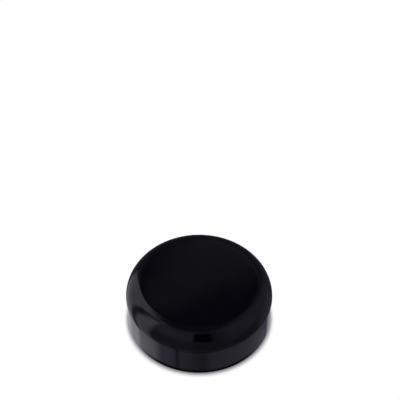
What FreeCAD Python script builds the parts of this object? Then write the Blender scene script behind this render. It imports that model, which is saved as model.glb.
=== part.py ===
import FreeCAD, Part
import math
import os
import Sketcher

# A smooth-sided screw lid for a wide-mouth jar, as a parametric document, in millimetres.
# It has two pieces: the moulded shell, and the sealing disc that is pushed up into it.
# The origin is the centre of the rim's plane, where the lid stands, and +Z is the thread's axis.

# Driving sizes: alias, value, what it is
SIZES = [
    ("neck_thread_radius", 26.25, "outside of the thread on the jar's neck"),
    ("neck_clearance", 0.4, "from the neck's thread to the bore of the lid"),
    ("skirt_wall", 1.5, "wall of the skirt, beside the thread"),
    ("seam_step", 0.35, "how far the shoulder stands out past the skirt"),
    ("seam_slope", 0.3, "height of the sloping step under the shoulder"),
    ("dome_wall", 1.85, "wall of the flat top"),
    ("neck_depth", 11.2, "from the rim up to the sealing disc"),
    ("seam_lift", 0.5, "from the top of the sealing disc up to the seam"),
    ("shoulder_height", 8.2, "from the seam up to the flat top"),
    ("shoulder_width", 6.5, "from the flat top's edge out to the seam"),
    ("crown_radius", 4.9, "upper of the shoulder's two arcs"),
    ("inner_crown_radius", 2.0, "upper of the two arcs inside the shoulder, where the ring stands"),
    ("rim_chamfer", 0.35, "chamfer outside the rim"),
    ("entry_chamfer", 0.4, "chamfer inside the rim"),
    ("entry_relief", 0.3, "how much wider than the bore the land at the mouth is"),
    ("entry_height", 2.0, "from the rim to the top of the land at the mouth"),
    ("disc_thickness", 1.2, "thickness of the sealing disc"),
    ("disc_clearance", 0.25, "from the sealing disc's edge to the bore"),
    ("seat_gap", 2.45, "from the bore in to the ring that backs the sealing disc"),
    ("seat_width", 1.5, "width of that ring's foot"),
    ("seat_draft", 1.5, "draft of that ring's two sides, in degrees"),
    ("thread_pitch", 4.233, "rise in one turn, six turns to the inch"),
    ("thread_turns", 1.15, "from the middle of one run-out to the middle of the other"),
    ("thread_gap", 2.3, "from the sealing disc down to the ridge's upper end"),
    ("thread_height", 1.15, "how far the ridge stands in from the bore"),
    ("thread_crest", 0.9, "width of the ridge's crest between its flanks"),
    ("thread_flank", 30.0, "slope of the ridge's flanks, in degrees"),
    ("runout_turn", 36.0, "turn over which each end of the ridge fades, in degrees"),
]

# Turn between two sections of the ridge in degrees, and how deep its crest lies in the wall at its ends
SECTION_TURN = 9.0
END_DEPTH = 0.1

doc = FreeCAD.newDocument("jar_screw_lid")
sheet = doc.addObject("Spreadsheet::Sheet", "Sizes")
for row, (alias, value, meaning) in enumerate(SIZES, start=1):
    sheet.set(f"A{row}", alias)
    sheet.set(f"B{row}", str(value))
    sheet.setAlias(f"B{row}", alias)
    sheet.set(f"C{row}", meaning)
doc.recompute()

# Radii and heights that follow from the driving sizes, as expressions on the sheet
BORE = "(Sizes.neck_thread_radius + Sizes.neck_clearance)"
LAND = f"({BORE} + Sizes.entry_relief)"
SKIRT = f"({BORE} + Sizes.skirt_wall)"
WIDEST = f"({SKIRT} + Sizes.seam_step)"
FLAT_EDGE = f"({WIDEST} - Sizes.shoulder_width)"
DISC_TOP = "(Sizes.neck_depth + Sizes.disc_thickness)"
SEAM = f"({DISC_TOP} + Sizes.seam_lift)"
TOP = f"({SEAM} + Sizes.shoulder_height)"
CEILING = f"({TOP} - Sizes.dome_wall)"
SEAT_OUTSIDE = f"({BORE} - Sizes.seat_gap)"
SEAT_INSIDE = f"({SEAT_OUTSIDE} - Sizes.seat_width)"


def size(expression):
    """The value that an expression on the sheet has now."""
    value = sheet.evalExpression(expression)
    return float(getattr(value, "Value", value))


def point(radius, height):
    """A point of a half section: x is the radius and y is the height."""
    return FreeCAD.Vector(size(radius), size(height), 0)


def own_plane(body, role):
    return next(plane for plane in body.Origin.OriginFeatures if plane.Role == role)


class HalfSection:
    """A closed outline in the body's XZ plane, drawn from one corner to the next.

    Each corner is held at a radius and a height, which are expressions on the sheet.
    """

    # How a sketch numbers the points of a curve, and the curve and point that are its own origin
    START, END, CENTRE = 1, 2, 3
    ORIGIN = (-1, 1)

    def __init__(self, body, name, radius, height):
        self.sketch = body.newObject("Sketcher::SketchObject", name)
        self.sketch.AttachmentSupport = (own_plane(body, "XZ_Plane"), "")
        self.sketch.MapMode = "FlatFace"
        self.first_corner = (radius, height)
        self.here = point(radius, height)
        self.last_curve = None

    def hold(self, kind, *place):
        return self.sketch.addConstraint(Sketcher.Constraint(kind, *place))

    def bind(self, kind, place, expression):
        """A dimension that the sheet drives."""
        index = self.hold(kind, *place, size(expression))
        self.sketch.setExpression(f"Constraints[{index}]", expression)

    def pin(self, curve, end, radius, height):
        """Hold one end, or the centre, of a curve at its radius and height."""
        for kind, expression, level_with in (
            ("DistanceX", radius, "Vertical"),
            ("DistanceY", height, "Horizontal"),
        ):
            if expression == "0":
                self.hold(level_with, *self.ORIGIN, curve, end)
            else:
                self.bind(kind, (*self.ORIGIN, curve, end), expression)

    def follow(self, curve, tie="Coincident"):
        """Tie a new curve's start to the end of the one before it."""
        if self.last_curve is None:
            self.pin(curve, self.START, *self.first_corner)
        else:
            self.hold(tie, self.last_curve, self.END, curve, self.START)
        self.last_curve = curve

    def line_to(self, radius, height):
        there = point(radius, height)
        line = self.sketch.addGeometry(Part.LineSegment(self.here, there), False)
        self.follow(line)
        if (radius, height) == self.first_corner:
            self.hold("Coincident", line, self.END, 0, self.START)
        else:
            self.pin(line, self.END, radius, height)
        self.here = there

    def arc(self, centre, radius, start_angle, end_angle, tie="Coincident"):
        circle = Part.Circle(centre, FreeCAD.Vector(0, 0, 1), radius)
        arc = self.sketch.addGeometry(Part.ArcOfCircle(circle, start_angle, end_angle), False)
        self.follow(arc, tie)
        return arc

    def shoulder_to(self, radius, height, upper_radius):
        """Two arcs without a corner between them, from an upright wall to a level top.

        The upper arc's radius is given, and the lower one's follows from the width and the height.
        """
        there = point(radius, height)
        width, rise, upper = self.here.x - there.x, there.y - self.here.y, size(upper_radius)
        lower = (width**2 + rise**2 - 2 * rise * upper) / (2 * (width - upper))
        lower_centre = FreeCAD.Vector(self.here.x - lower, self.here.y, 0)
        upper_centre = FreeCAD.Vector(there.x, there.y - upper, 0)
        meeting = math.atan2(upper_centre.y - lower_centre.y, upper_centre.x - lower_centre.x)
        lower_arc = self.arc(lower_centre, lower, 0, meeting)
        upper_arc = self.arc(upper_centre, upper, meeting, math.pi / 2, "Tangent")
        self.hold("Horizontal", lower_arc, self.CENTRE, lower_arc, self.START)
        self.hold("Vertical", upper_arc, self.CENTRE, upper_arc, self.END)
        self.bind("Radius", (upper_arc,), upper_radius)
        self.pin(upper_arc, self.END, radius, height)
        self.here = there


def turn(body, kind, section, name):
    """Turn a half section once about the lid's axis, to add or to cut material."""
    feature = body.newObject(f"PartDesign::{kind}", name)
    feature.Profile = section.sketch
    feature.ReferenceAxis = (section.sketch, ["V_Axis"])
    feature.Angle = 360
    body.Tip = feature
    doc.recompute()
    return feature


def outer_form(body):
    """The outside: chamfered rim, upright skirt, small step, shoulder and flat top."""
    section = HalfSection(body, "outer_section", "0", "0")
    section.line_to(f"{SKIRT} - Sizes.rim_chamfer", "0")
    section.line_to(SKIRT, "Sizes.rim_chamfer")
    section.line_to(SKIRT, f"{SEAM} - Sizes.seam_slope")
    section.line_to(WIDEST, SEAM)
    section.shoulder_to(FLAT_EDGE, TOP, "Sizes.crown_radius")
    section.line_to("0", TOP)
    section.line_to("0", "0")
    return turn(body, "Revolution", section, "outer_form")


def hollow(body):
    """The inside: chamfered mouth, land at the entry, thread bore and the space under the top."""
    section = HalfSection(body, "hollow_section", "0", "0")
    section.line_to(f"{LAND} + Sizes.entry_chamfer", "0")
    section.line_to(LAND, "Sizes.entry_chamfer")
    section.line_to(LAND, "Sizes.entry_height")
    section.line_to(BORE, "Sizes.entry_height + Sizes.entry_relief")
    section.line_to(BORE, SEAM)
    section.shoulder_to(SEAT_INSIDE, CEILING, "Sizes.inner_crown_radius")
    section.line_to("0", CEILING)
    section.line_to("0", "0")
    return turn(body, "Groove", section, "hollow")


def seat_ring(body):
    """The ring that hangs from the top and backs the sealing disc over the jar's lip."""
    root = f"({CEILING} + Sizes.dome_wall / 2)"
    lean = f"(({root} - {DISC_TOP}) * tan(Sizes.seat_draft * 1 deg))"
    section = HalfSection(body, "seat_section", SEAT_INSIDE, DISC_TOP)
    section.line_to(SEAT_OUTSIDE, DISC_TOP)
    section.line_to(f"{SEAT_OUTSIDE} + {lean}", root)
    section.line_to(f"{SEAT_INSIDE} - {lean}", root)
    section.line_to(SEAT_INSIDE, DISC_TOP)
    return turn(body, "Revolution", section, "seat_ring")


def moulded_form():
    """The shell as turned about its axis, without its thread."""
    body = doc.addObject("PartDesign::Body", "moulded_form")
    outer_form(body)
    hollow(body)
    seat_ring(body)
    return body


def fade(turned, whole_turn, runout):
    """How much of the ridge stands at a turn: 0 at its two ends and 1 past its run-outs."""
    share = min(turned, whole_turn - turned, runout) / runout
    return share * share * (3 - 2 * share)


def ridge_section(turned, middle, standing):
    """The ridge's outline in the plane through the axis at a turn, with its foot inside the wall."""
    bore = size(BORE)
    foot = bore + size("Sizes.skirt_wall") / 2
    crest = bore + END_DEPTH - standing * (size("Sizes.thread_height") + END_DEPTH)
    half_crest = size("Sizes.thread_crest") / 2
    half_foot = half_crest + (foot - crest) * math.tan(math.radians(size("Sizes.thread_flank")))
    around = FreeCAD.Rotation(FreeCAD.Vector(0, 0, 1), turned)
    outline = [(foot, -half_foot), (crest, -half_crest), (crest, half_crest), (foot, half_foot)]
    corners = [around.multVec(FreeCAD.Vector(r, 0, middle + offset)) for r, offset in outline]
    return Part.makePolygon(corners + corners[:1])


def thread_ridge():
    """The right-handed ridge that takes the neck's thread, fading into the bore at both ends."""
    runout = size("Sizes.runout_turn")
    whole_turn = 360 * size("Sizes.thread_turns") + runout
    pitch = size("Sizes.thread_pitch")
    upper_end = size("Sizes.neck_depth - Sizes.thread_gap - Sizes.thread_crest / 2")
    lower_end = upper_end - pitch * whole_turn / 360
    count = math.ceil(whole_turn / SECTION_TURN)
    turns = [whole_turn * number / count for number in range(count + 1)]
    sections = [
        ridge_section(turned, lower_end + pitch * turned / 360, fade(turned, whole_turn, runout))
        for turned in turns
    ]
    ridge = doc.addObject("Part::Feature", "thread_ridge")
    ridge.Shape = Part.makeLoft(sections, True)
    return ridge


def lid_shell():
    """The moulded shell: its turned form with the thread on its bore, all one piece."""
    shell = doc.addObject("Part::Fuse", "lid_shell")
    shell.Base = moulded_form()
    shell.Tool = thread_ridge()
    shell.Label = "lid_shell"
    return shell


def sealing_disc():
    """The disc cut from foam sheet that the jar's lip presses against the seat ring."""
    body = doc.addObject("PartDesign::Body", "sealing_disc")
    body.Label = "sealing_disc"
    sketch = body.newObject("Sketcher::SketchObject", "disc_outline")
    sketch.AttachmentSupport = (own_plane(body, "XY_Plane"), "")
    sketch.MapMode = "FlatFace"
    sketch.setExpression("AttachmentOffset.Base.z", "Sizes.neck_depth")
    radius = f"{BORE} - Sizes.disc_clearance"
    circle = Part.Circle(FreeCAD.Vector(), FreeCAD.Vector(0, 0, 1), size(radius))
    outline = sketch.addGeometry(circle, False)
    centre = (outline, HalfSection.CENTRE, *HalfSection.ORIGIN)
    sketch.addConstraint(Sketcher.Constraint("Coincident", *centre))
    edge = sketch.addConstraint(Sketcher.Constraint("Radius", outline, size(radius)))
    sketch.setExpression(f"Constraints[{edge}]", radius)
    pad = body.newObject("PartDesign::Pad", "disc")
    pad.Profile = sketch
    pad.setExpression("Length", "Sizes.disc_thickness")
    body.Tip = pad
    return body


pieces = [lid_shell(), sealing_disc()]
doc.recompute()

for item in doc.Objects:
    if "Invalid" in item.State or "Error" in item.State:
        raise RuntimeError(f"{item.Label} could not be made: {item.State}")

os.makedirs("parts", exist_ok=True)
for piece in pieces:
    if piece.Shape.isNull() or not piece.Shape.isValid() or len(piece.Shape.Solids) != 1:
        raise RuntimeError(f"{piece.Label} is not one valid solid")
    piece.Shape.exportStep(f"parts/{piece.Label}.step")
    print(f"{piece.Label}: {piece.Shape.Volume:.1f} cubic mm")
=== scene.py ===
import math

import bmesh
import bpy
from bpy.props import (
    FloatProperty,
    FloatVectorProperty,
    IntProperty,
    PointerProperty,
)
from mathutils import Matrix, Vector


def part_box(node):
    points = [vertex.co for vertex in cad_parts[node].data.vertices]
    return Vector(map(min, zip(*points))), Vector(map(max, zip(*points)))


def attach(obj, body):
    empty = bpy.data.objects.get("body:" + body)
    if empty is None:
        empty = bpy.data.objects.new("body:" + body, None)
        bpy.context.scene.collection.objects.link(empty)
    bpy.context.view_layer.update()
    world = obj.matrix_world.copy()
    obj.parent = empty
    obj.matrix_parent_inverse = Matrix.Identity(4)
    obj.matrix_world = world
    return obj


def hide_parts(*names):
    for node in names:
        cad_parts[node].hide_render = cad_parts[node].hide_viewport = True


# The smooth-sided jar lid's looks: a gloss black moulded shell and the foam disc inside it.
# Lengths are in metres. The rim stands on the XY plane and +Z is the thread's axis.

bl_info = {
    "name": "Jar Screw Lid",
    "version": (1, 0, 0),
    "blender": (4, 5, 0),
    "location": "3D View > Sidebar > Jar Lid",
    "description": "Makes a moulded screw lid with its sealing disc, and a plain studio for it",
    "category": "Object",
}

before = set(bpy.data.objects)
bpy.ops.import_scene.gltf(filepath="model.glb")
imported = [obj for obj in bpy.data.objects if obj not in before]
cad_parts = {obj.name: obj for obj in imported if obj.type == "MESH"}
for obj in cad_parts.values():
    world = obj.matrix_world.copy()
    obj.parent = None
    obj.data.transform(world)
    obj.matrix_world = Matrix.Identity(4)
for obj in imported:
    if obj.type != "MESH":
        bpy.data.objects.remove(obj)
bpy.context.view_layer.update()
shell_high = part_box("lid_shell")[1]
disc_low, disc_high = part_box("sealing_disc")

AXIS = Vector((0, 0, 1))
MM = 0.001

# A length that is nothing beside the smallest real one
TINY = 1e-6

# Width and height of the photograph in pixels
FRAME_PIXELS = 400

# The Mix node's two colours and its result, which share their names with its other kinds
COLOUR_A, COLOUR_B, COLOUR_RESULT = 6, 7, 2

# What the numbers of a soft panel are after the first, in degrees. Two slants may follow.
PANEL_ANGLES = ("Left", "Right", "Lowest", "Highest", "Side softness", "End softness")
PANEL_SLANTS = ("Left slant", "Right slant")

# Bright panels that gloss sees, as if the lid stood on a pale table by two windows on its left.
# The first number is the share of the windows' brightness.
WINDOWS = {
    "first window, upper half": (1.03, -113.5, -87, 0, 42, 5, 4, 0, -0.33),
    "first window, lower half": (0.8, -109, -83.8, -24, 0, 5, 4, -0.2, -0.12),
    "first window, foot": (0.54, -108, -82.5, -50, -24, 5, 4, -0.05, 0),
    "second window, lower half": (0.73, -66.5, -40.3, -52, 14, 4, 5, -0.18, 0),
    "second window, middle": (0.97, -79, -38.6, 14, 32, 4, 5),
    "second window, upper half": (0.98, -80.5, -38.2, 32, 47, 4, 5, 0, 0.65),
    "second window, head": (0.93, -80.5, -28.4, 47, 59, 5, 4, 0, 1.1),
    "over the second window": (0.33, -105, -32, 58, 64, 8, 4),
    "over the first window": (0.36, -116, -80, 44, 60, 6, 5),
    "between the windows, high": (0.2, -98, -80, 27, 44, 4, 5),
    "between the windows, low": (0.06, -95, -70, -50, 27, 4, 5),
    "table on the left": (0.69, -108, -48, -57, -50, 10, 4),
    "table behind, left part": (0.7, -42, 6, -58, -44, 6, 3),
    "table behind, right part": (0.45, 6, 36, -58, -48.5, 6, 2.5),
    "pale wall behind": (0.12, 6, 36, 40, 56, 2.8, 2, -1.2, -3.7),
}

# Weak panels that gloss sees, as if from a room's walls and the rest of the table.
# The first number is the share of the walls' brightness.
WALLS = {
    "wall in front": (0.12, 120, 240, -62, 60, 15, 10),
    "wall at the front left": (0.28, -175, -112, -60, 60, 8, 8),
    "upper wall at the front left": (0.75, -185, -114, 6, 54, 14, 20),
    "beside the first window": (0.36, -142, -110, 14, 48, 8, 8),
    "wall on the right": (0.9, 52, 146, -8, 66, 18, 20),
    "wall on the right, middle": (0.25, 94, 116, 4, 50, 7, 8),
    "foot of the wall at the back right": (0.6, 55, 92, -38, -5, 8, 8),
    "foot of the wall at the front left": (0.42, -165, -105, -56, -42, 8, 5),
    "table all round": (0.33, -200, 200, -62, -51.5, 1, 1),
    "table on the right": (0.74, 45, 164, -62, -51.5, 10, 1),
    "table at the front left": (0.4, -135, -100, -62, -51.5, 8, 1),
}

# Shades over the walls and the dark room. The first number is the share of light that each takes.
SHADES = {
    "camera": (0.98, 161.5, 188.5, 10, 49.5, 3, 2),
    "wall behind": (0.1, -42, 43, -100, 46.5, 3, 2),
    "high behind": (0.75, -30, 22, 46.5, 68, 8, 2),
    "overhead": (0.35, -200, 200, 68, 100, 1, 5),
    "thin upright at the front left": (0.45, -147, -141, -60, -28, 1.5, 6),
    "table under the rim": (0.8, -200, 200, -100, -57, 1, 1.5),
}


def length(name, description, default):
    """A size in metres that shows hundredths of a millimetre."""
    return FloatProperty(
        name=name,
        description=description,
        default=default,
        min=0,
        precision=5,
        subtype="DISTANCE",
        unit="LENGTH",
    )


def angle(name, description, degrees):
    return FloatProperty(
        name=name,
        description=description,
        default=math.radians(degrees),
        subtype="ANGLE",
        unit="ROTATION",
    )


def share(name, description, default):
    return FloatProperty(
        name=name,
        description=description,
        default=default,
        min=0,
        max=1,
        precision=4,
        subtype="FACTOR",
    )


def plain(name, description, default):
    return FloatProperty(name=name, description=description, default=default, min=0, precision=3)


def spread(name, description, default):
    """Red, green and blue of a light, which may be over 1."""
    return FloatVectorProperty(
        name=name, description=description, default=default, size=3, min=0, precision=3
    )


def spot(name, description, default):
    """A place in metres."""
    return FloatVectorProperty(
        name=name,
        description=description,
        default=default,
        size=3,
        subtype="TRANSLATION",
        unit="LENGTH",
    )


def count(name, description, default):
    return IntProperty(name=name, description=description, default=default, min=1)


def colour(name, description, default):
    return FloatVectorProperty(
        name=name,
        description=description,
        default=default,
        size=3,
        min=0,
        max=1,
        precision=4,
        subtype="COLOR",
    )


class ShellSizes(bpy.types.PropertyGroup):
    """Sizes of the moulded shell's turned form."""

    widest_radius: length("Widest radius", "Radius of the shoulder at the seam", min(shell_high.xy))
    skirt_radius: length("Skirt radius", "Outside radius of the skirt", 28.15 * MM)
    flat_radius: length("Flat radius", "Radius of the flat top", 22.0 * MM)
    top_height: length("Top height", "Height of the flat top over the rim", shell_high.z)
    seam_height: length("Seam height", "Height of the small step under the shoulder", 12.9 * MM)
    seam_slope: length("Seam slope", "Height of the step's sloping side", 0.3 * MM)
    crown_radius: length("Crown radius", "Upper of the shoulder's two arcs", 4.9 * MM)
    inner_crown: length("Inner crown", "Upper of the two arcs inside, where the ring stands", 2.0 * MM)
    dome_wall: length("Dome wall", "Wall of the flat top", 1.85 * MM)
    bore_radius: length("Bore radius", "Inside radius that carries the thread", 26.65 * MM)
    land_radius: length("Land radius", "Inside radius at the mouth", 26.95 * MM)
    land_height: length("Land height", "Height of the land at the mouth", 2.0 * MM)
    rim_rounding: length("Rim rounding", "Rounding outside the rim", 0.35 * MM)
    mouth_chamfer: length("Mouth chamfer", "Chamfer inside the rim", 0.4 * MM)
    ring_outside: length("Ring outside", "Outside radius of the ring's foot", 24.2 * MM)
    ring_inside: length("Ring inside", "Inside radius of the ring's foot", 22.7 * MM)
    ring_root: length("Ring root", "Height where the ring leaves the dome", 18.434 * MM)
    ring_draft: angle("Ring draft", "Draft of the ring's two sides", 1.5)
    edge_rounding: length("Edge rounding", "Rounding of the small moulded edges", 0.1 * MM)
    columns: count("Columns", "Steps round the axis", 360)


class ThreadSizes(bpy.types.PropertyGroup):
    """Sizes of the right-handed ridge on the bore."""

    pitch: length("Pitch", "Rise in one turn", 4.233 * MM)
    turn: angle("Turn", "Turn from one end to the other, run-outs included", 450)
    runout: angle("Run-out", "Turn over which each end fades", 36)
    upper_end: length("Upper end", "Height of the ridge's middle at its upper end", 8.45 * MM)
    height: length("Height", "How far the ridge stands in from the bore", 1.15 * MM)
    crest: length("Crest", "Width of the crest between its flanks", 0.9 * MM)
    flank: angle("Flank", "Slope of the flanks", 30)
    rounding: length("Rounding", "How softly crest, flanks and bore run into each other", 0.36 * MM)
    least_rounding: share("Least rounding", "Share of the rounding left at the ends", 0.05)
    end_depth: length("End depth", "How deep the crest lies in the wall at the ends", 0.1 * MM)
    row_height: length("Row height", "Height of one row of faces on the bore", 0.1 * MM)


class DiscSizes(bpy.types.PropertyGroup):
    """Sizes of the sealing disc, cut from foam sheet."""

    radius: length("Radius", "Radius of the cut disc", disc_high.x)
    underside: length("Underside", "Height of its underside over the rim", disc_low.z)
    upper_side: length("Upper side", "Height of its upper side over the rim", disc_high.z)
    skin: length("Skin", "Thickness of the skin on each side", 0.07 * MM)
    cut_depth: length("Cut depth", "How far the cut foam lies back between the skins", 0.06 * MM)
    columns: count("Columns", "Steps round the axis", 240)


class Finishes(bpy.types.PropertyGroup):
    """Colours and gloss of the two pieces."""

    plastic_colour: colour(
        "Plastic", "Colour of the moulded plastic", (0.0012, 0.0010, 0.0030)
    )
    outside_roughness: share("Outside roughness", "Polished side of the mould", 0.055)
    outside_haze: share("Outside haze", "Roughness that haze adds outside", 0.03)
    outside_dulling: share("Outside dulling", "Roughness of a scratch outside", 0.12)
    inside_roughness: share("Inside roughness", "Turned core of the mould", 0.24)
    inside_haze: share("Inside haze", "Roughness that haze adds inside", 0.08)
    inside_dulling: share("Inside dulling", "Roughness of a scratch inside", 0.1)
    plastic_index: plain("Plastic index", "Index of refraction of polypropylene", 1.49)
    scratch_strength: share("Scratches", "Depth of the finest handling scratches", 0.12)
    foam_colour: colour("Foam", "Colour of the foam sheet", (0.80, 0.79, 0.75))
    # This colour serves both as painted shade in the cells' hollows and as the darker tone of pressed
    # patches
    foam_hollow_shade_and_press_tone: colour("Foam shade", "Colour in the foam's cells", (0.60, 0.59, 0.55))
    foam_roughness: share("Foam roughness", "Pressed skin of the foam sheet", 0.55)
    foam_haze: share("Foam haze", "Roughness that the unpressed skin adds", 0.1)
    foam_index: plain("Foam index", "Index of refraction of the foam's skin", 1.4)
    # Painted shade: how much of that colour is painted into each cell's hollow
    painted_cell_shade: share("Cell shade", "Share of the shade that shows in a cell", 0.28)
    # The pressed patches' own darker tone, not shade
    press_tone: share("Press shade", "Share of the shade that shows where pressed", 0.22)


class Studio(bpy.types.PropertyGroup):
    """Camera, floor and lights."""

    camera_distance: length("Camera distance", "From the camera to the rim's centre", 370.5 * MM)
    camera_pitch: angle("Camera pitch", "How far the camera looks down", 43.9)
    focal_pixels: plain("Focal pixels", "Focal length in pixels of the 400 pixel frame", 927)
    rim_column: plain("Rim column", "Pixel column of the rim's centre", 199.14)
    rim_row: plain("Rim row", "Pixel row of the rim's centre", 314.8)
    floor_radius: length("Floor radius", "Radius of the floor", 3.0)
    floor_hole: length("Floor hole", "Radius of the hole under the lid", 27.2 * MM)
    floor_gap: length("Floor gap", "How far the floor lies under the rim", 0.02 * MM)
    floor_segments: count("Floor segments", "Sides of the round floor and its hole", 96)
    shadow_reach: length("Shadow reach", "How far the shadow reaches in front of the rim", 3.1 * MM)
    shadow_behind: share("Shadow behind", "Share of that reach behind the lid's middle", 0.75)
    shadow_depth: share("Shadow depth", "How much the shadow takes at the rim", 0.8)
    shadow_core: share("Shadow core", "Open sky where the shadow is deepest", 0.45)
    shadow_edge: share("Shadow edge", "Open sky where the shadow ends", 0.95)
    # Where gloss sees the painted contact shadow, a black line along the rim's front
    contact_core: share("Contact core", "Open sky where gloss sees a black floor", 0.72)
    contact_edge: share("Contact edge", "Open sky where gloss sees through the floor", 0.76)
    ambient: share("Ambient", "Plain light from all round", 0.6)
    overhead: plain("Overhead", "Light of the overhead lamp on the floor", 0.35)
    overhead_place: spot("Overhead place", "Middle of the overhead lamp", (-0.1, 0.05, 0.9))
    overhead_width: length("Overhead width", "Side of the square overhead lamp", 0.8)
    dark_room: share("Dark room", "What gloss sees of the room", 0.08)
    window_light: plain("Window light", "Brightness of the windows for gloss", 0.70)
    wall_light: plain("Wall light", "Brightness of the room's pale walls for gloss", 0.135)
    window_tint: spread("Window tint", "Red, green and blue of the windows", (1.0, 0.99, 1.06))
    wall_tint: spread("Wall tint", "Red, green and blue of the walls", (1.0, 0.96, 1.24))


def add(tree, kind, inputs=None, **settings):
    """A node with its settings. An input is a value, or the output of another node."""
    node = tree.nodes.new(kind)
    for name, value in settings.items():
        setattr(node, name, value)
    for name, value in (inputs or {}).items():
        if isinstance(value, bpy.types.NodeSocket):
            tree.links.new(value, node.inputs[name])
        else:
            node.inputs[name].default_value = value
    return node


def math_node(tree, operation, *values, clamp=False):
    """The output of a Math node."""
    inputs = dict(enumerate(values))
    return add(tree, "ShaderNodeMath", inputs, operation=operation, use_clamp=clamp).outputs[0]


def band(tree, value, low, high, to_low=0.0, to_high=1.0):
    """A value carried smoothly from one range to another, and held at its ends."""
    inputs = {"Value": value, 1: low, 2: high, 3: to_low, 4: to_high}
    node = add(tree, "ShaderNodeMapRange", inputs, interpolation_type="SMOOTHSTEP")
    return node.outputs["Result"]


def effect(name, inputs, outputs):
    """An empty shader node group with its sockets, and the nodes that stand for them."""
    group = bpy.data.node_groups.new(name, "ShaderNodeTree")
    for socket, (kind, default) in inputs.items():
        made = group.interface.new_socket(socket, in_out="INPUT", socket_type=kind)
        if default is not None:
            made.default_value = default
    for socket, kind in outputs.items():
        group.interface.new_socket(socket, in_out="OUTPUT", socket_type=kind)
    given = group.nodes.new("NodeGroupInput").outputs
    result = group.nodes.new("NodeGroupOutput").inputs
    return group, given, result


def place(tree, group, inputs):
    """A shader node group placed in a material with its own values."""
    return add(tree, "ShaderNodeGroup", inputs, node_tree=group)


def shaded(tree, share_of_second, first, second):
    """A colour between two plain ones."""
    inputs = {"Factor": share_of_second, COLOUR_A: (*first, 1.0), COLOUR_B: (*second, 1.0)}
    return add(tree, "ShaderNodeMix", inputs, data_type="RGBA").outputs[COLOUR_RESULT]


def times(colour_parts, factor):
    return [factor * part for part in colour_parts]


def mottle_effect():
    """Soft patches of about one size, from 0 to 1."""
    group, given, result = effect(
        "soft_mottle",
        {
            "Position": ("NodeSocketVector", None),
            "Patches per metre": ("NodeSocketFloat", 100.0),
            "Softness": ("NodeSocketFloat", 0.3),
        },
        {"Mask": "NodeSocketFloat"},
    )
    noise = add(
        group,
        "ShaderNodeTexNoise",
        {
            "Vector": given["Position"],
            "Scale": given["Patches per metre"],
            "Detail": 2.0,
            "Roughness": 0.5,
        },
    )
    low = math_node(group, "SUBTRACT", 0.5, given["Softness"])
    high = math_node(group, "ADD", 0.5, given["Softness"])
    group.links.new(band(group, noise.outputs["Fac"], low, high), result["Mask"])
    return group


def scratch_effect():
    """Fine short scratches in three directions, from 0 to 1."""
    group, given, result = effect(
        "fine_scratches",
        {
            "Position": ("NodeSocketVector", None),
            "Lines per metre": ("NodeSocketFloat", 900.0),
            "Stretch": ("NodeSocketFloat", 24.0),
            "Width": ("NodeSocketFloat", 0.04),
            "Cover": ("NodeSocketFloat", 0.4),
        },
        {"Mask": "NodeSocketFloat"},
    )
    across = math_node(group, "DIVIDE", given["Lines per metre"], given["Stretch"])
    layers = []
    for turned in (17.0, 78.0, 141.0):
        slant = add(
            group,
            "ShaderNodeVectorRotate",
            {"Vector": given["Position"], "Axis": (0.3, 0.2, 1.0), "Angle": math.radians(turned)},
        )
        scale = add(
            group,
            "ShaderNodeCombineXYZ",
            {"X": given["Lines per metre"], "Y": across, "Z": given["Lines per metre"]},
        )
        stretched = add(
            group,
            "ShaderNodeVectorMath",
            {0: slant.outputs[0], 1: scale.outputs[0]},
            operation="MULTIPLY",
        )
        cells = add(
            group,
            "ShaderNodeTexNoise",
            {"Vector": stretched.outputs[0], "Scale": 1.0, "Detail": 0.0},
        )
        middle = math_node(group, "SUBTRACT", cells.outputs["Fac"], 0.5)
        distance = math_node(group, "ABSOLUTE", middle)
        layers.append(band(group, distance, 0.0, given["Width"], 1.0, 0.0))
    lines = math_node(group, "MAXIMUM", math_node(group, "MAXIMUM", *layers[:2]), layers[2])
    patches = add(
        group, "ShaderNodeTexNoise", {"Vector": given["Position"], "Scale": 260.0, "Detail": 1.0}
    )
    edge = math_node(group, "SUBTRACT", 1.0, given["Cover"])
    shown = band(group, patches.outputs["Fac"], edge, math_node(group, "ADD", edge, 0.15))
    group.links.new(math_node(group, "MULTIPLY", lines, shown), result["Mask"])
    return group


def new_material(name):
    """A material with its Principled shader, its nodes' tree and the object's own coordinates."""
    material = bpy.data.materials.new(name)
    material.use_nodes = True
    tree = material.node_tree
    tree.nodes.clear()
    shader = tree.nodes.new("ShaderNodeBsdfPrincipled")
    add(tree, "ShaderNodeOutputMaterial", {"Surface": shader.outputs["BSDF"]})
    position = tree.nodes.new("ShaderNodeTexCoord").outputs["Object"]
    return material, tree, shader, position


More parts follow.
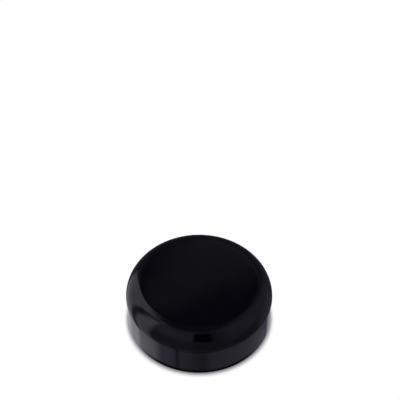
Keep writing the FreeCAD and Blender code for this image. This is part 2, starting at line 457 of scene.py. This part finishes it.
def outside_plastic(finish, effects):
    """Gloss black plastic from the polished side of the mould."""
    material, tree, shader, position = new_material("gloss_plastic")
    haze = place(
        tree,
        effects["soft_mottle"],
        {"Position": position, "Patches per metre": 140.0, "Softness": 0.22},
    ).outputs["Mask"]
    scratches = place(
        tree,
        effects["fine_scratches"],
        {
            "Position": position,
            "Lines per metre": 1500.0,
            "Stretch": 40.0,
            "Width": 0.012,
            "Cover": 0.45,
        },
    ).outputs["Mask"]
    tint = shaded(tree, haze, finish.plastic_colour, times(finish.plastic_colour, 0.8))
    tree.links.new(tint, shader.inputs["Base Color"])
    clearest = finish.outside_roughness
    polished = band(tree, haze, 0.0, 1.0, clearest, clearest + finish.outside_haze)
    rough = math_node(tree, "MULTIPLY_ADD", scratches, finish.outside_dulling, polished)
    tree.links.new(rough, shader.inputs["Roughness"])
    shader.inputs["IOR"].default_value = finish.plastic_index
    flow = add(
        tree,
        "ShaderNodeTexNoise",
        {"Vector": position, "Scale": 85.0, "Detail": 1.0, "Roughness": 0.4},
    )
    waves = add(
        tree,
        "ShaderNodeBump",
        {"Height": flow.outputs["Fac"], "Strength": 0.35, "Distance": 0.035 * MM},
    )
    marks = add(
        tree,
        "ShaderNodeBump",
        {
            "Height": scratches,
            "Strength": finish.scratch_strength,
            "Distance": 0.004 * MM,
            "Normal": waves.outputs["Normal"],
        },
        invert=True,
    )
    tree.links.new(marks.outputs["Normal"], shader.inputs["Normal"])
    return material


def inside_plastic(finish, effects):
    """Satin black plastic from the turned core, with the core's fine tool lines round the axis."""
    material, tree, shader, position = new_material("satin_plastic")
    haze = place(
        tree,
        effects["soft_mottle"],
        {"Position": position, "Patches per metre": 220.0, "Softness": 0.25},
    ).outputs["Mask"]
    scratches = place(
        tree,
        effects["fine_scratches"],
        {
            "Position": position,
            "Lines per metre": 1100.0,
            "Stretch": 18.0,
            "Width": 0.02,
            "Cover": 0.42,
        },
    ).outputs["Mask"]
    split = add(tree, "ShaderNodeSeparateXYZ", {"Vector": position}).outputs
    flat = add(tree, "ShaderNodeCombineXYZ", {"X": split["X"], "Y": split["Y"]})
    radius = add(
        tree, "ShaderNodeVectorMath", {0: flat.outputs[0]}, operation="LENGTH"
    ).outputs["Value"]
    along = math_node(tree, "ADD", radius, split["Z"])
    tool_lines = add(
        tree,
        "ShaderNodeTexNoise",
        {"W": math_node(tree, "MULTIPLY", along, 9000.0), "Scale": 1.0, "Detail": 2.0},
        noise_dimensions="1D",
    ).outputs["Fac"]
    dark, pale = times(finish.plastic_colour, 1.6), times(finish.plastic_colour, 2.4)
    tree.links.new(shaded(tree, haze, dark, pale), shader.inputs["Base Color"])
    clearest = finish.inside_roughness
    satin = band(tree, haze, 0.0, 1.0, clearest, clearest + finish.inside_haze)
    rough = math_node(tree, "MULTIPLY_ADD", scratches, finish.inside_dulling, satin)
    tree.links.new(rough, shader.inputs["Roughness"])
    shader.inputs["IOR"].default_value = finish.plastic_index
    turned = add(
        tree, "ShaderNodeBump", {"Height": tool_lines, "Strength": 0.3, "Distance": 0.004 * MM}
    )
    marks = add(
        tree,
        "ShaderNodeBump",
        {
            "Height": scratches,
            "Strength": finish.scratch_strength,
            "Distance": 0.004 * MM,
            "Normal": turned.outputs["Normal"],
        },
        invert=True,
    )
    tree.links.new(marks.outputs["Normal"], shader.inputs["Normal"])
    return material


def foam_sheet(finish, effects):
    """Pale foam sheet: small closed cells under a thin skin, with soft pressed patches, and painted
    shade in the cells' hollows.
    """
    material, tree, shader, position = new_material("foam_sheet")
    pressed = place(
        tree,
        effects["soft_mottle"],
        {"Position": position, "Patches per metre": 330.0, "Softness": 0.2},
    ).outputs["Mask"]
    scratches = place(
        tree,
        effects["fine_scratches"],
        {
            "Position": position,
            "Lines per metre": 500.0,
            "Stretch": 10.0,
            "Width": 0.03,
            "Cover": 0.4,
        },
    ).outputs["Mask"]
    cell_inputs = {"Vector": position, "Scale": 3400.0}
    cells = add(tree, "ShaderNodeTexVoronoi", cell_inputs)
    walls = add(tree, "ShaderNodeTexVoronoi", cell_inputs, feature="DISTANCE_TO_EDGE")
    # Painted shade darkens the cells' hollows, where the bump sinks. The pressed patches add their own
    # darker tone.
    painted_pit_shade = band(tree, cells.outputs["Distance"], 0.1, 0.6, 1.0, 0.0)
    darkened = math_node(tree, "MULTIPLY", pressed, finish.press_tone)
    shade = math_node(tree, "MULTIPLY_ADD", painted_pit_shade, finish.painted_cell_shade, darkened, clamp=True)
    tint = shaded(tree, shade, finish.foam_colour, finish.foam_hollow_shade_and_press_tone)
    tree.links.new(tint, shader.inputs["Base Color"])
    smoothest = finish.foam_roughness
    skin = band(tree, pressed, 0.0, 1.0, smoothest + finish.foam_haze, smoothest)
    tree.links.new(skin, shader.inputs["Roughness"])
    shader.inputs["IOR"].default_value = finish.foam_index
    raised = band(tree, walls.outputs["Distance"], 0.0, 0.25, 1.0, 0.0)
    cell_bump = add(
        tree, "ShaderNodeBump", {"Height": raised, "Strength": 0.35, "Distance": 0.02 * MM}
    )
    press_bump = add(
        tree,
        "ShaderNodeBump",
        {
            "Height": math_node(tree, "MULTIPLY_ADD", scratches, -0.4, pressed),
            "Strength": 0.4,
            "Distance": 0.03 * MM,
            "Normal": cell_bump.outputs["Normal"],
        },
    )
    tree.links.new(press_bump.outputs["Normal"], shader.inputs["Normal"])
    return material


def shared_effects():
    """The shader node groups, made once and found again by name."""
    makers = {"soft_mottle": mottle_effect, "fine_scratches": scratch_effect}
    return {name: bpy.data.node_groups.get(name) or make() for name, make in makers.items()}


class Outline:
    """A wire in the XZ plane, drawn on from its last vertex and then turned round the axis."""

    def __init__(self, mesh, radius, height):
        self.mesh = mesh
        self.tip = mesh.verts.new((radius, 0, height))
        self.corners = []

    def line_to(self, radius, height, cuts=0, corner=False):
        """Draw a straight run with evenly spaced cuts. A corner is rounded later."""
        start, end = self.tip.co.copy(), Vector((radius, 0, height))
        for step in range(1, cuts + 2):
            made = bmesh.ops.extrude_vert_indiv(self.mesh, verts=[self.tip])
            self.tip = made["verts"][0]
            self.tip.co = start.lerp(end, step / (cuts + 1))
        if corner:
            self.corners.append(self.tip)

    def arc(self, centre, turn, steps, corner=False):
        """Turn the last vertex about a centre. A positive turn is from the axis towards the floor."""
        made = bmesh.ops.spin(
            self.mesh,
            geom=[self.tip],
            cent=(centre[0], 0, centre[1]),
            axis=(0, 1, 0),
            angle=turn,
            steps=steps,
        )
        self.tip = made["geom_last"][0]
        if corner:
            self.corners.append(self.tip)

    def round_corners(self, rounding, segments=3):
        bmesh.ops.bevel(
            self.mesh,
            geom=self.corners,
            offset=rounding,
            offset_type="OFFSET",
            affect="VERTICES",
            segments=segments,
            profile=0.5,
            material=-1,
        )

    def turn(self, columns):
        """Turn the wire once about the lid's axis into a closed skin that points outwards."""
        bmesh.ops.spin(
            self.mesh,
            geom=self.mesh.verts[:] + self.mesh.edges[:],
            cent=(0, 0, 0),
            axis=AXIS,
            angle=math.tau,
            steps=columns,
            use_merge=True,
        )
        bmesh.ops.remove_doubles(self.mesh, verts=self.mesh.verts, dist=1e-7)
        bmesh.ops.recalc_face_normals(self.mesh, faces=self.mesh.faces)


def lower_arc(width, rise, upper):
    """Radius of the arc that carries an upright wall without a corner into the arc above it."""
    return (width**2 + rise**2 - 2 * rise * upper) / (2 * (width - upper))


def shell_outline(mesh, size, row_height):
    """Half of the shell's section, from the middle of its top round the rim to the ceiling."""
    width = size.widest_radius - size.flat_radius
    lower = lower_arc(width, size.top_height - size.seam_height, size.crown_radius)
    lower_centre = (size.widest_radius - lower, size.seam_height)
    upper_centre = (size.flat_radius, size.top_height - size.crown_radius)
    meeting = math.atan2(upper_centre[1] - lower_centre[1], upper_centre[0] - lower_centre[0])
    ceiling = size.top_height - size.dome_wall
    inner_width = size.bore_radius - size.ring_inside
    inner = lower_arc(inner_width, ceiling - size.seam_height, size.inner_crown)
    ring_angle = math.asin((size.ring_root - size.seam_height) / inner)
    ring_foot = disc_high.z
    ring_edge = size.ring_inside - (ceiling - ring_foot) * math.tan(size.ring_draft)

    wire = Outline(mesh, 0, size.top_height)
    wire.line_to(size.flat_radius, size.top_height, cuts=7)
    wire.arc(upper_centre, math.pi / 2 - meeting, 14)
    wire.arc(lower_centre, meeting, 16, corner=True)
    wire.line_to(size.skirt_radius, size.seam_height - size.seam_slope, corner=True)
    guard = 4 * size.edge_rounding
    wire.line_to(size.skirt_radius, size.seam_height - size.seam_slope - guard)
    wire.line_to(size.skirt_radius, size.rim_rounding + guard, cuts=5)
    wire.line_to(size.skirt_radius, size.rim_rounding)
    rim_edge = size.skirt_radius - size.rim_rounding
    wire.arc((rim_edge, size.rim_rounding), math.pi / 2, 6)
    wire.line_to(size.land_radius + size.mouth_chamfer, 0, corner=True)
    wire.line_to(size.land_radius, size.mouth_chamfer, corner=True)
    wire.line_to(size.land_radius, size.land_height, cuts=2, corner=True)
    relief = size.land_radius - size.bore_radius
    bore_foot = size.land_height + relief
    wire.line_to(size.bore_radius, bore_foot, corner=True)
    rows = math.ceil((disc_low.z - bore_foot) / row_height)
    wire.line_to(size.bore_radius, disc_low.z, cuts=rows - 1)
    wire.line_to(size.bore_radius, size.seam_height, cuts=3)
    wire.arc((size.bore_radius - inner, size.seam_height), -ring_angle, 12, corner=True)
    wire.line_to(size.ring_outside, ring_foot, cuts=4, corner=True)
    wire.line_to(size.ring_inside, ring_foot, cuts=1, corner=True)
    wire.line_to(ring_edge, ceiling, cuts=4, corner=True)
    wire.line_to(0, ceiling, cuts=5)
    wire.round_corners(size.edge_rounding)
    return wire


def softly_least(a, b, rounding):
    """The lesser of two values, with a rounded corner where they meet."""
    overlap = max(rounding - abs(a - b), 0.0)
    return min(a, b) - overlap * overlap / (4 * rounding)


def ridge_height(offset, standing, size):
    """How far the ridge stands in at a height off its middle, where it has a share of its height."""
    peak = standing * (size.height + size.end_depth) - size.end_depth
    half_foot = size.crest / 2 + peak * math.tan(size.flank)
    flank = (half_foot - abs(offset)) / math.tan(size.flank)
    rounding = size.rounding * max(standing, size.least_rounding)
    return -softly_least(0.0, -softly_least(flank, peak, rounding), rounding)


def raise_thread(mesh, shell, size):
    """Move the bore's vertices in along the right-handed helix of the ridge.

    The bore within a millimetre of the disc stays as it was turned.
    """
    lower_end = size.upper_end - size.pitch * size.turn / math.tau
    reach = size.crest / 2 + (size.height + size.rounding) * math.tan(size.flank)
    for vertex in mesh.verts:
        radius = vertex.co.xy.length
        if abs(radius - shell.bore_radius) > TINY or vertex.co.z > disc_low.z - MM:
            continue
        turned = math.atan2(vertex.co.y, vertex.co.x) % math.tau
        height = 0.0
        while turned <= size.turn:
            offset = vertex.co.z - lower_end - size.pitch * turned / math.tau
            if abs(offset) < reach:
                share_in = min(turned, size.turn - turned, size.runout) / size.runout
                standing = share_in * share_in * (3 - 2 * share_in)
                height = max(height, ridge_height(offset, standing, size))
            turned += math.tau
        vertex.co.xy *= (shell.bore_radius - height) / radius


def shaped_by_core(face, size):
    """Whether the turned core shaped this face, and not the polished cavity round it."""
    middle = face.calc_center_median()
    radius = middle.xy.length
    on_top = middle.z > size.top_height - size.dome_wall / 2
    if on_top or radius > size.land_radius + size.mouth_chamfer:
        return False
    level_or_inward = face.normal.xy.dot(middle.xy) < TINY
    below_seam = middle.z < size.seam_height + TINY
    on_ring = radius < size.ring_outside + MM and middle.z < size.ring_root
    return level_or_inward or below_seam or on_ring


def finished_piece(mesh, name, node, materials):
    """Turn a bmesh into a smooth piece that rides with the lid and stands for its CAD node."""
    data = bpy.data.meshes.new(name)
    mesh.to_mesh(data)
    mesh.free()
    for material in materials:
        data.materials.append(material)
    data.shade_smooth()
    piece = bpy.data.objects.new(name, data)
    bpy.context.scene.collection.objects.link(piece)
    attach(piece, "root")
    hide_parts(node)
    return piece


class MakeShell(bpy.types.Operator):
    """Make the moulded shell: turned form, thread and gloss black plastic"""

    bl_idname = "jar_lid.make_shell"
    bl_label = "Moulded Shell"

    def execute(self, context):
        scene = context.scene
        size = scene.lid_shell_sizes
        thread = scene.lid_thread_sizes
        mesh = bmesh.new()
        shell_outline(mesh, size, thread.row_height).turn(size.columns)
        raise_thread(mesh, size, thread)
        for face in mesh.faces:
            face.material_index = int(shaped_by_core(face, size))
        effects = shared_effects()
        materials = [
            outside_plastic(scene.lid_finishes, effects),
            inside_plastic(scene.lid_finishes, effects),
        ]
        finished_piece(mesh, "moulded_shell", "lid_shell", materials)
        return {"FINISHED"}


class MakeDisc(bpy.types.Operator):
    """Make the sealing disc: foam sheet between two thin skins, with its cut edge"""

    bl_idname = "jar_lid.make_disc"
    bl_label = "Sealing Disc"

    def execute(self, context):
        size = context.scene.lid_disc_sizes
        mesh = bmesh.new()
        cut = size.radius - size.cut_depth
        wire = Outline(mesh, 0, size.upper_side)
        wire.line_to(size.radius, size.upper_side, cuts=6, corner=True)
        wire.line_to(size.radius, size.upper_side - size.skin, corner=True)
        wire.line_to(cut, size.upper_side - 2 * size.skin, corner=True)
        wire.line_to(cut, size.underside + 2 * size.skin, cuts=3, corner=True)
        wire.line_to(size.radius, size.underside + size.skin, corner=True)
        wire.line_to(size.radius, size.underside, corner=True)
        wire.line_to(0, size.underside, cuts=6)
        wire.round_corners(size.skin / 3, segments=2)
        wire.turn(size.columns)
        foam = foam_sheet(context.scene.lid_finishes, shared_effects())
        finished_piece(mesh, "foam_disc", "sealing_disc", [foam])
        return {"FINISHED"}


def floor_material(studio):
    """White with the lid's shadow for the camera, and open from below.

    Bounced light sees it grey. Gloss sees through it, but for a black line along the rim's front, a
    painted contact shadow.
    """
    material = bpy.data.materials.new("studio_floor")
    material.use_nodes = True
    tree = material.node_tree
    tree.nodes.clear()
    position = tree.nodes.new("ShaderNodeTexCoord").outputs["Object"]
    away = add(tree, "ShaderNodeSeparateXYZ", {"Vector": position}).outputs["Y"]
    reach_left = band(tree, away, -20 * MM, 5 * MM, 1.0, studio.shadow_behind)
    reach = math_node(tree, "MULTIPLY", reach_left, studio.shadow_reach)
    occlusion = add(tree, "ShaderNodeAmbientOcclusion", {"Distance": reach}, samples=16)
    open_sky = occlusion.outputs["AO"]
    darkest = 1.0 - studio.shadow_depth
    lit = band(tree, open_sky, studio.shadow_core, studio.shadow_edge, darkest, 1.0)
    # Painted contact shadow: gloss sees the floor black close to the rim's front
    near = band(tree, open_sky, studio.contact_core, studio.contact_edge, 1.0, 0.0)
    in_front = band(tree, away, -26 * MM, -16 * MM, 1.0, 0.0)
    contact = math_node(tree, "MULTIPLY", near, in_front)
    white = add(tree, "ShaderNodeEmission", {"Strength": lit})
    black = add(tree, "ShaderNodeEmission", {"Strength": 0.0})
    grey = add(tree, "ShaderNodeBsdfDiffuse", {"Color": (0.5, 0.5, 0.5, 1.0)})
    clear = tree.nodes.new("ShaderNodeBsdfTransparent")
    rays = tree.nodes.new("ShaderNodeLightPath").outputs
    under = tree.nodes.new("ShaderNodeNewGeometry").outputs["Backfacing"]

    def mixed(share_of_second, first, second):
        inputs = {"Fac": share_of_second, 1: first.outputs[0], 2: second.outputs[0]}
        return add(tree, "ShaderNodeMixShader", inputs)

    seen = mixed(rays["Is Glossy Ray"], grey, mixed(contact, clear, black))
    seen = mixed(rays["Is Camera Ray"], seen, white)
    seen = mixed(under, seen, clear)
    add(tree, "ShaderNodeOutputMaterial", {"Surface": seen.outputs[0]})
    return material


def make_floor(studio):
    """A round floor with a hole under the lid, so that a view from below sees inside."""
    mesh = bmesh.new()
    for radius in (studio.floor_hole, studio.floor_radius):
        bmesh.ops.create_circle(mesh, segments=studio.floor_segments, radius=radius)
    bmesh.ops.bridge_loops(mesh, edges=mesh.edges[:])
    bmesh.ops.translate(mesh, verts=mesh.verts, vec=-studio.floor_gap * AXIS)
    bmesh.ops.recalc_face_normals(mesh, faces=mesh.faces)
    if sum(face.normal.z for face in mesh.faces) < 0:
        bmesh.ops.reverse_faces(mesh, faces=mesh.faces)
    data = bpy.data.meshes.new("floor")
    mesh.to_mesh(data)
    mesh.free()
    data.materials.append(floor_material(studio))
    floor = bpy.data.objects.new("floor", data)
    bpy.context.scene.collection.objects.link(floor)


def make_camera(studio):
    """The camera at the photograph's angle, aimed so that the rim's centre falls on its pixel."""
    data = bpy.data.cameras.new("camera")
    data.sensor_width = 36
    data.lens = studio.focal_pixels * data.sensor_width / FRAME_PIXELS
    data.clip_start = 0.01
    pitch, distance = studio.camera_pitch, studio.camera_distance
    ahead = Vector((0, math.cos(pitch), -math.sin(pitch)))
    upward = Vector((0, math.sin(pitch), math.cos(pitch)))
    sideways = (studio.rim_column - FRAME_PIXELS / 2) / studio.focal_pixels * distance
    lifted = (studio.rim_row - FRAME_PIXELS / 2) / studio.focal_pixels * distance
    camera = bpy.data.objects.new("camera", data)
    camera.location = -distance * ahead - Vector((sideways, 0, 0)) + lifted * upward
    camera.rotation_euler = (math.pi / 2 - pitch, 0, 0)
    bpy.context.scene.collection.objects.link(camera)
    bpy.context.scene.camera = camera


def make_overhead(studio):
    """A wide soft lamp over the lid that gloss doesn't see."""
    data = bpy.data.lights.new("overhead", "AREA")
    data.size = studio.overhead_width
    # The watts that light a white floor to this brightness from the lamp's height
    data.energy = studio.overhead * math.pi**2 * studio.overhead_place.z**2
    lamp = bpy.data.objects.new("overhead", data)
    lamp.location = studio.overhead_place
    lamp.visible_camera = False
    lamp.visible_glossy = False
    bpy.context.scene.collection.objects.link(lamp)


def panel_effect():
    """The light of one soft-edged panel far away, seen in a direction.

    Left and right are its sides at its lowest edge, and the slants are how far they move to the
    right for each unit of elevation above that.
    """
    group, given, result = effect(
        "soft_panel",
        {
            "Azimuth": ("NodeSocketFloat", 0.0),
            "Elevation": ("NodeSocketFloat", 0.0),
            "Left": ("NodeSocketFloat", -0.3),
            "Right": ("NodeSocketFloat", 0.3),
            "Lowest": ("NodeSocketFloat", -1.0),
            "Highest": ("NodeSocketFloat", 0.8),
            "Side softness": ("NodeSocketFloat", 0.1),
            "End softness": ("NodeSocketFloat", 0.1),
            "Left slant": ("NodeSocketFloat", 0.0),
            "Right slant": ("NodeSocketFloat", 0.0),
            "Brightness": ("NodeSocketFloat", 1.0),
        },
        {"Light": "NodeSocketFloat"},
    )

    def negative(value):
        return math_node(group, "MULTIPLY", value, -1.0)

    both = math_node(group, "ADD", given["Left"], given["Right"])
    middle = math_node(group, "MULTIPLY", both, 0.5)
    half = math_node(group, "SUBTRACT", given["Right"], middle)
    offset = math_node(group, "SUBTRACT", given["Azimuth"], middle)
    offset = math_node(group, "WRAP", offset, math.pi, -math.pi)
    raised = math_node(group, "SUBTRACT", given["Elevation"], given["Lowest"])
    moved_left = math_node(group, "MULTIPLY", raised, given["Left slant"])
    left = math_node(group, "SUBTRACT", half, moved_left)
    right = math_node(group, "MULTIPLY_ADD", raised, given["Right slant"], half)
    light = given["Brightness"]
    for value, edge, softness in (
        (offset, right, given["Side softness"]),
        (negative(offset), left, given["Side softness"]),
        (given["Elevation"], given["Highest"], given["End softness"]),
        (negative(given["Elevation"]), negative(given["Lowest"]), given["End softness"]),
    ):
        inner = math_node(group, "SUBTRACT", edge, softness)
        outer = math_node(group, "ADD", edge, softness)
        light = math_node(group, "MULTIPLY", light, band(group, value, inner, outer, 1.0, 0.0))
    group.links.new(light, result["Light"])
    return group


def make_world(studio):
    """White for the camera, plain light for the lid, and a dark room with panels for gloss."""
    world = bpy.data.worlds.new("studio")
    world.use_nodes = True
    tree = world.node_tree
    tree.nodes.clear()
    rays = tree.nodes.new("ShaderNodeLightPath").outputs
    towards = tree.nodes.new("ShaderNodeTexCoord").outputs["Generated"]
    split = add(tree, "ShaderNodeSeparateXYZ", {"Vector": towards}).outputs
    azimuth = math_node(tree, "ARCTAN2", split["X"], split["Y"])
    elevation = math_node(tree, "ARCSINE", split["Z"])
    group = panel_effect()

    def panel(name, brightness, numbers):
        inputs = {"Azimuth": azimuth, "Elevation": elevation, "Brightness": brightness}
        inputs.update(zip(PANEL_ANGLES, map(math.radians, numbers)))
        inputs.update(zip(PANEL_SLANTS, numbers[len(PANEL_ANGLES) :]))
        node = place(tree, group, inputs)
        node.label = name
        return node.outputs["Light"]

    windows, walls = 0.0, studio.dark_room
    for name, (part, *numbers) in WINDOWS.items():
        lit = panel(name, part * studio.window_light, numbers)
        windows = math_node(tree, "ADD", windows, lit)
    for name, (part, *numbers) in WALLS.items():
        walls = math_node(tree, "ADD", walls, panel(name, part * studio.wall_light, numbers))
    for name, (part, *numbers) in SHADES.items():
        left_over = math_node(tree, "SUBTRACT", 1.0, panel(name, part, numbers))
        walls = math_node(tree, "MULTIPLY", walls, left_over)
    window_seen = {"Color": (*studio.window_tint, 1.0), "Strength": windows}
    walls_seen = {"Color": (*studio.wall_tint, 1.0), "Strength": walls}
    seen = add(
        tree,
        "ShaderNodeAddShader",
        {
            0: add(tree, "ShaderNodeBackground", window_seen).outputs[0],
            1: add(tree, "ShaderNodeBackground", walls_seen).outputs[0],
        },
    )
    light = add(tree, "ShaderNodeBackground", {"Strength": studio.ambient})
    white = add(tree, "ShaderNodeBackground", {"Strength": 1.0})
    for node in (light, white):
        node.inputs["Color"].default_value = (1.0, 1.0, 1.0, 1.0)
    inner = add(
        tree,
        "ShaderNodeMixShader",
        {"Fac": rays["Is Glossy Ray"], 1: light.outputs[0], 2: seen.outputs[0]},
    )
    outer = add(
        tree,
        "ShaderNodeMixShader",
        {"Fac": rays["Is Camera Ray"], 1: inner.outputs[0], 2: white.outputs[0]},
    )
    add(tree, "ShaderNodeOutputWorld", {"Surface": outer.outputs[0]})
    bpy.context.scene.world = world


class SetStage(bpy.types.Operator):
    """Set the studio: camera, floor, soft light panels and white background"""

    bl_idname = "jar_lid.set_stage"
    bl_label = "Studio"

    def execute(self, context):
        studio = context.scene.lid_studio
        make_camera(studio)
        make_floor(studio)
        make_overhead(studio)
        make_world(studio)
        context.scene.view_settings.view_transform = "Standard"
        return {"FINISHED"}


class LidPanel(bpy.types.Panel):
    """Sizes, finishes and operators of the jar lid"""

    bl_idname = "VIEW3D_PT_jar_lid"
    bl_label = "Jar Lid"
    bl_space_type = "VIEW_3D"
    bl_region_type = "UI"
    bl_category = "Jar Lid"

    def draw(self, context):
        for label, (pointer, _) in GROUPS.items():
            box = self.layout.box()
            box.label(text=label)
            group = getattr(context.scene, pointer)
            for name in group.__annotations__:
                box.prop(group, name)
        for operator in OPERATORS:
            self.layout.operator(operator.bl_idname)


GROUPS = {
    "Shell": ("lid_shell_sizes", ShellSizes),
    "Thread": ("lid_thread_sizes", ThreadSizes),
    "Disc": ("lid_disc_sizes", DiscSizes),
    "Finishes": ("lid_finishes", Finishes),
    "Studio": ("lid_studio", Studio),
}
OPERATORS = (MakeShell, MakeDisc, SetStage)


def register():
    for name, group in GROUPS.values():
        bpy.utils.register_class(group)
        setattr(bpy.types.Scene, name, PointerProperty(type=group))
    for operator in OPERATORS:
        bpy.utils.register_class(operator)
    bpy.utils.register_class(LidPanel)


def unregister():
    bpy.utils.unregister_class(LidPanel)
    for operator in reversed(OPERATORS):
        bpy.utils.unregister_class(operator)
    for name, group in GROUPS.values():
        delattr(bpy.types.Scene, name)
        bpy.utils.unregister_class(group)


def main():
    register()
    bpy.ops.jar_lid.make_shell()
    bpy.ops.jar_lid.make_disc()
    bpy.ops.jar_lid.set_stage()


if __name__ == "__main__":
    main()
